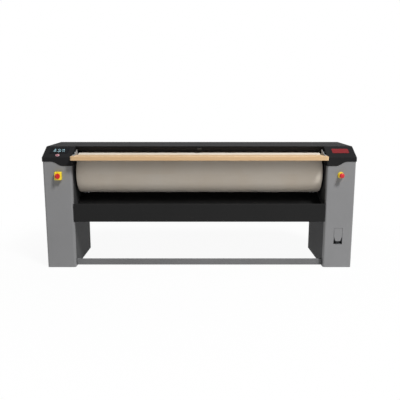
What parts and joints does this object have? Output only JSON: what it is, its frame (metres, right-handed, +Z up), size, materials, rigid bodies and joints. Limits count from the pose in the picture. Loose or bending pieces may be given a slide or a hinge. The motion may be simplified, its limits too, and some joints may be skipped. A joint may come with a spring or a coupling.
{
  "type": "rotary ironer",
  "caption": "Free-standing rotary ironer: a padded roller turns between two columns and a heated chest behind it presses the linen.",
  "frame": {"origin": "on the floor, under the middle of the overall box", "axes": "+X along the roller towards the drive column, which is on the right seen from the front; +Y towards the rear, so the feed side faces -Y; +Z up"},
  "size_m": [2.576, 0.71, 1.0165],
  "materials": {
    "grey_paint": "satin grey powder coat",
    "black_paint": "satin black paint",
    "tray_black": "matt black paint",
    "frame_paint": "dull dark paint",
    "bracket_paint": "light grey paint",
    "motor_grey": "painted casting",
    "zinc_steel": "zinc-plated steel",
    "polished_steel": "polished steel",
    "cast_iron": "as cast, machined on the faces",
    "brass": "machined",
    "padding_cloth": "cream woven cloth over padding",
    "beech": "clear-lacquered wood",
    "yellow_plastic": "moulded, satin",
    "red_plastic": "moulded, gloss",
    "red_badge": "bare label film",
    "black_plastic": "moulded, matt",
    "dark_glass": "glossy dark window",
    "pale_plastic": "pale translucent ring"
  },
  "bodies": {
    "machine": {"left_frame": "frame_paint", "right_frame": "frame_paint", "left_inner_wall": "grey_paint", "right_inner_wall": "grey_paint", "left_side_panel": "grey_paint", "right_side_panel": "grey_paint", "left_front_panel": "grey_paint", "right_front_panel": "grey_paint", "left_rear_panel": "grey_paint", "right_rear_panel": "grey_paint", "left_end_cover": "black_paint", "right_end_cover": "black_paint", "hood_cover": "black_paint", "feed_sensor": "black_plastic", "rear_cover": "black_paint", "rear_beam": "frame_paint", "linen_tray": "tray_black", "linen_slide": "tray_black", "base_bar": "grey_paint", "left_bearing": "cast_iron", "right_bearing": "cast_iron", "left_chest_bush": "brass", "right_chest_bush": "brass", "drive_bracket": "zinc_steel", "gearbox": "cast_iron", "drive_motor": "motor_grey", "actuator_body": "motor_grey", "main_switch_box": "yellow_plastic", "emergency_stop_body": "yellow_plastic", "display_panel": "dark_glass", "button_ring": "pale_plastic", "badge_plate": "red_badge", "pedal_housing": "black_plastic", "pedal_pin": "zinc_steel", "electrical_plate": "zinc_steel", "contactor_row": "black_plastic", "cable_gland": "black_plastic"},
    "roller": {"roller_padding": "padding_cloth", "roller_tube": "zinc_steel", "left_roller_end": "zinc_steel", "right_roller_end": "zinc_steel", "roller_gear": "cast_iron"},
    "pinion": {"drive_pinion": "zinc_steel"},
    "chest": {"heated_chest": "polished_steel", "heating_element": "zinc_steel", "chest_ribs": "zinc_steel", "chest_cover": "zinc_steel", "left_chest_arm": "zinc_steel", "right_chest_arm": "zinc_steel", "chest_shaft": "zinc_steel", "chest_lever": "zinc_steel"},
    "rod": {"actuator_rod": "polished_steel"},
    "guard": {"guard_board": "beech", "left_guard_bracket": "bracket_paint", "right_guard_bracket": "bracket_paint"},
    "switch_knob": {"main_switch_knob": "red_plastic"},
    "stop_stem": {"emergency_stop_stem": "zinc_steel"},
    "stop_head": {"emergency_stop_head": "red_plastic"},
    "button": {"power_button": "red_plastic"},
    "pedal": {"pedal_plate": "grey_paint"}
  },
  "joints": [
    {"name": "roller_spin", "type": "hinge", "parent": "machine", "child": "roller", "pos_m": [0, -0.033, 0.787], "axis": [1, 0, 0], "continuous": true},
    {"name": "pinion_spin", "type": "hinge", "parent": "machine", "child": "pinion", "pos_m": [1.0973, -0.033, 0.637], "axis": [1, 0, 0], "continuous": true},
    {"name": "chest_press", "type": "hinge", "parent": "machine", "child": "chest", "pos_m": [0, 0.137, 0.5], "axis": [1, 0, 0], "range_deg": [0, 3.6]},
    {"name": "actuator_slide", "type": "slide", "parent": "machine", "child": "rod", "axis": [0, 0, 1], "range_m": [0, 0.0063]},
    {"name": "guard_swing", "type": "hinge", "parent": "machine", "child": "guard", "pos_m": [0, -0.176, 0.966], "axis": [1, 0, 0], "range_deg": [0, 5], "stiffness_Nm_per_rad": 100, "springref_deg": -5.73},
    {"name": "main_switch_turn", "type": "hinge", "parent": "machine", "child": "switch_knob", "pos_m": [-1.156, -0.321, 0.786], "axis": [0, -1, 0], "range_deg": [0, 90]},
    {"name": "emergency_stop_push", "type": "slide", "parent": "machine", "child": "stop_stem", "axis": [0, 1, 0], "range_m": [0, 0.005]},
    {"name": "emergency_stop_twist", "type": "hinge", "parent": "stop_stem", "child": "stop_head", "pos_m": [1.161, -0.325, 0.79], "axis": [0, -1, 0], "range_deg": [0, 45], "stiffness_Nm_per_rad": 0.05, "springref_deg": -11.46},
    {"name": "power_button_push", "type": "slide", "parent": "machine", "child": "button", "axis": [0, 0.457, -0.8895], "range_m": [0, 0.002], "stiffness_N_per_m": 300, "springref_m": -0.003},
    {"name": "pedal_press", "type": "hinge", "parent": "machine", "child": "pedal", "pos_m": [1.165, -0.2735, 0.33], "axis": [1, 0, 0], "range_deg": [0, 12], "stiffness_Nm_per_rad": 1, "springref_deg": -11.46}
  ],
  "couplings": [
    {"joint": "pinion_spin", "follows": "roller_spin", "ratio": -4},
    {"joint": "actuator_slide", "follows": "chest_press", "m_per_rad": 0.1}
  ]
}
